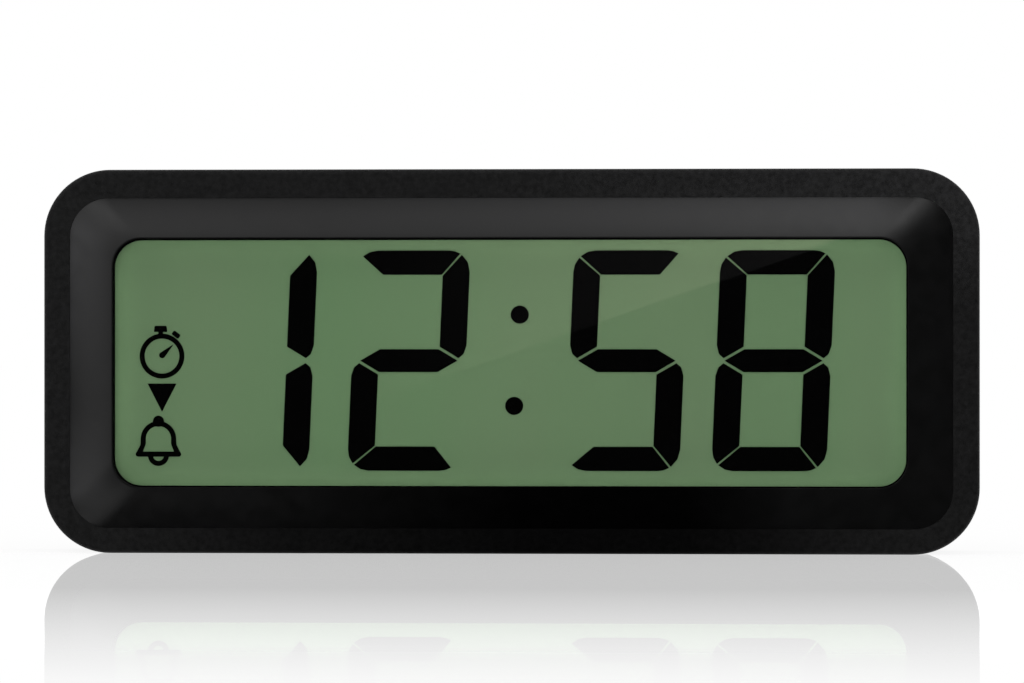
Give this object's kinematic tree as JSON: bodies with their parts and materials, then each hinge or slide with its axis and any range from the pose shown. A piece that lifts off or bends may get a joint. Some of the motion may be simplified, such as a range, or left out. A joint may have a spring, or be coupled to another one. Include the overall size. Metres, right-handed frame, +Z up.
{
  "type": "digital desk clock",
  "caption": "Wide upright desk clock with a large reflective digital display, sloping bezel, rear buttons, mode slider, battery bay and fold-out stand.",
  "frame": {"origin": "middle of the flat bottom edge on which the clock stands, under the middle of its depth", "axes": "+X to the viewer's right, +Y from the front to the back, +Z up"},
  "size_m": [0.176, 0.0274, 0.0723],
  "materials": {
    "case_textured": "fine matt texture",
    "bezel_satin": "smooth satin",
    "window_clear": "clear polished",
    "black_tape": "matt film",
    "display_film": "clear film",
    "display_glass": "polished",
    "display_segments": "dark segments on clear glass",
    "display_ground": "grey-green reflector",
    "holder_white": "moulded",
    "black_rubber": "matt",
    "board_green": "solder mask",
    "plated_steel": "nickel plated",
    "brass": "bare",
    "ceramic_white": "fired coating",
    "switch_black": "moulded",
    "button_black": "smooth satin",
    "cell_sleeve": "shrink sleeve",
    "wire_red": "insulation",
    "wire_black": "insulation"
  },
  "bodies": {
    "clock_case": {"front_shell": "case_textured", "rear_shell": "case_textured", "bezel_insert": "bezel_satin", "lens": "window_clear", "lens_tape": "black_tape", "lcd_front_polarizer": "display_film", "lcd_front_glass": "display_glass", "lcd_rear_glass": "display_segments", "lcd_reflector": "display_ground", "display_holder": "holder_white", "zebra_strip_upper": "black_rubber", "zebra_strip_lower": "black_rubber", "main_board": "board_green", "chip_cover": "black_rubber", "crystal": "plated_steel", "capacitor": "cell_sleeve", "mode_switch_body": "plated_steel", "battery_upper": "cell_sleeve", "battery_lower": "cell_sleeve", "contact_bridge": "plated_steel", "contact_positive": "plated_steel", "contact_negative": "plated_steel", "piezo_disc": "brass", "piezo_ceramic": "ceramic_white", "battery_lead_red": "wire_red", "battery_lead_black": "wire_black", "piezo_lead_red": "wire_red", "piezo_lead_black": "wire_black", "case_screw_1": "plated_steel", "holder_screw_1": "plated_steel", "case_screw_2": "plated_steel", "holder_screw_2": "plated_steel", "case_screw_3": "plated_steel", "holder_screw_3": "plated_steel", "case_screw_4": "plated_steel", "holder_screw_4": "plated_steel", "tact_switch_1": "plated_steel", "tact_switch_2": "plated_steel", "tact_switch_3": "plated_steel", "tact_switch_4": "plated_steel", "tact_switch_5": "plated_steel"},
    "stand": {"stand": "case_textured"},
    "battery_door": {"battery_door": "case_textured"},
    "mode_slider": {"mode_slider": "button_black", "mode_switch_lever": "switch_black"},
    "button_1": {"button_1": "button_black", "tact_plunger_1": "switch_black"},
    "button_2": {"button_2": "button_black", "tact_plunger_2": "switch_black"},
    "button_3": {"button_3": "button_black", "tact_plunger_3": "switch_black"},
    "button_4": {"button_4": "button_black", "tact_plunger_4": "switch_black"},
    "button_5": {"button_5": "button_black", "tact_plunger_5": "switch_black"}
  },
  "joints": [
    {"name": "stand_fold", "type": "hinge", "parent": "clock_case", "child": "stand", "pos_m": [0, 0.0114, 0.0505], "axis": [1, 0, 0], "range_deg": [0, 50]},
    {"name": "battery_door_tilt", "type": "hinge", "parent": "clock_case", "child": "battery_door", "pos_m": [0.052, 0.01265, 0.0215], "axis": [-1, 0, 0], "range_deg": [0, 65]},
    {"name": "mode_slide", "type": "slide", "parent": "clock_case", "child": "mode_slider", "axis": [1, 0, 0], "range_m": [-0.003, 0.003]},
    {"name": "button_1_press", "type": "slide", "parent": "clock_case", "child": "button_1", "axis": [0, -1, 0], "range_m": [0, 0.0006], "stiffness_N_per_m": 1500},
    {"name": "button_2_press", "type": "slide", "parent": "clock_case", "child": "button_2", "axis": [0, -1, 0], "range_m": [0, 0.0006], "stiffness_N_per_m": 1500},
    {"name": "button_3_press", "type": "slide", "parent": "clock_case", "child": "button_3", "axis": [0, -1, 0], "range_m": [0, 0.0006], "stiffness_N_per_m": 1500},
    {"name": "button_4_press", "type": "slide", "parent": "clock_case", "child": "button_4", "axis": [0, -1, 0], "range_m": [0, 0.0006], "stiffness_N_per_m": 1500},
    {"name": "button_5_press", "type": "slide", "parent": "clock_case", "child": "button_5", "axis": [0, -1, 0], "range_m": [0, 0.0006], "stiffness_N_per_m": 1500}
  ]
}
